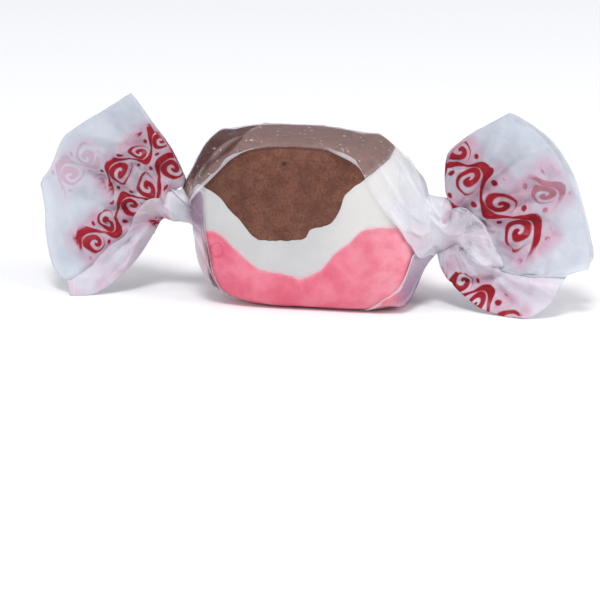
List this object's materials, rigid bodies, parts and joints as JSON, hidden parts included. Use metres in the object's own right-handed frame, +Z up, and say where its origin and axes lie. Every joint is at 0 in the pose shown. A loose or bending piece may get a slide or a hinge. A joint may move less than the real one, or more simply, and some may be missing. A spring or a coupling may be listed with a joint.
{
  "type": "wrapped taffy",
  "caption": "Block of layered chocolate, vanilla and strawberry taffy in a twisted waxed-paper wrapper with fanned ends, its layers showing at the open face.",
  "frame": {"origin": "on the supporting surface, under the middle of the whole piece", "axes": "+X along the wrapper from one fanned end to the other, +Z up, and the open face with the layers looks along -Y"},
  "size_m": [0.0788, 0.0179, 0.029],
  "materials": {
    "chocolate": "smooth pulled taffy with a soft satin sheen",
    "vanilla": "smooth pulled taffy with a soft satin sheen",
    "strawberry": "smooth pulled taffy with a soft satin sheen",
    "waxed_paper": "thin waxed paper, satin and slightly see-through"
  },
  "bodies": {
    "root": {"chocolate_layer": "chocolate", "vanilla_layer": "vanilla", "strawberry_layer": "strawberry", "wrapper": "waxed_paper"}
  },
  "joints": []
}
